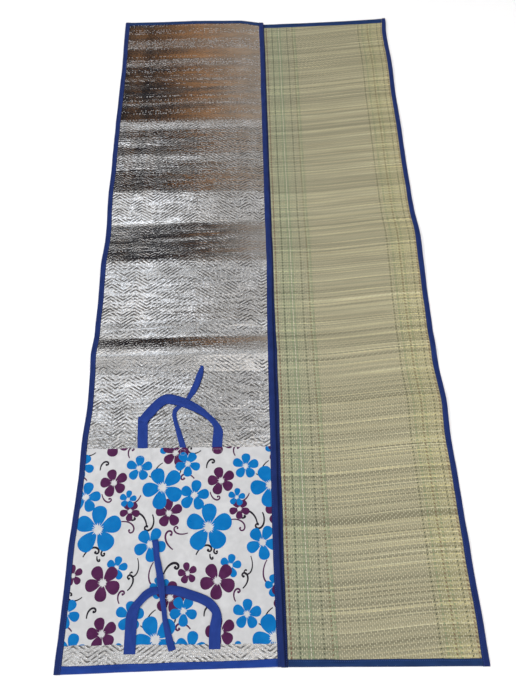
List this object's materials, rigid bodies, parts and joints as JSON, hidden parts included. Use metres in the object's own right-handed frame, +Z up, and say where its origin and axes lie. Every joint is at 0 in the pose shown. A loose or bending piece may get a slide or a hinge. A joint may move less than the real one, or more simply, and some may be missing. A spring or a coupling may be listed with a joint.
{
  "type": "picnic mat",
  "caption": "Long picnic mat of woven straw backed with metallised film, its leaves bound with tape and lapped along the middle, with a printed cover panel, strap handles and ribbon ties.",
  "frame": {"origin": "middle of the mat's footprint, on the ground it lies on", "axes": "+Y along the mat from the foot, where the cover panel is, to the head; +X across it from the film leaf to the straw leaf; +Z up"},
  "size_m": [0.8522, 1.815, 0.0177],
  "materials": {
    "metal_film": "embossed metallised film, crumpled gloss",
    "woven_straw": "dry woven straw, matt with a faint sheen",
    "edge_tape": "non-woven tape, matt",
    "printed_film": "glossy printed film",
    "strap": "non-woven strap, matt"
  },
  "bodies": {
    "root": {"leaf_foil_up": "metal_film", "leaf_straw_up": "woven_straw", "binding_foil_side": "edge_tape", "binding_foil_seam": "edge_tape", "binding_foil_foot": "edge_tape", "binding_foil_head": "edge_tape", "binding_straw_seam": "edge_tape", "binding_straw_side": "edge_tape", "binding_straw_foot": "edge_tape", "binding_straw_head": "edge_tape", "cover_panel": "printed_film", "handle_upper": "strap", "handle_lower": "strap", "tie_upper": "strap", "tie_lower": "strap"}
  },
  "joints": []
}
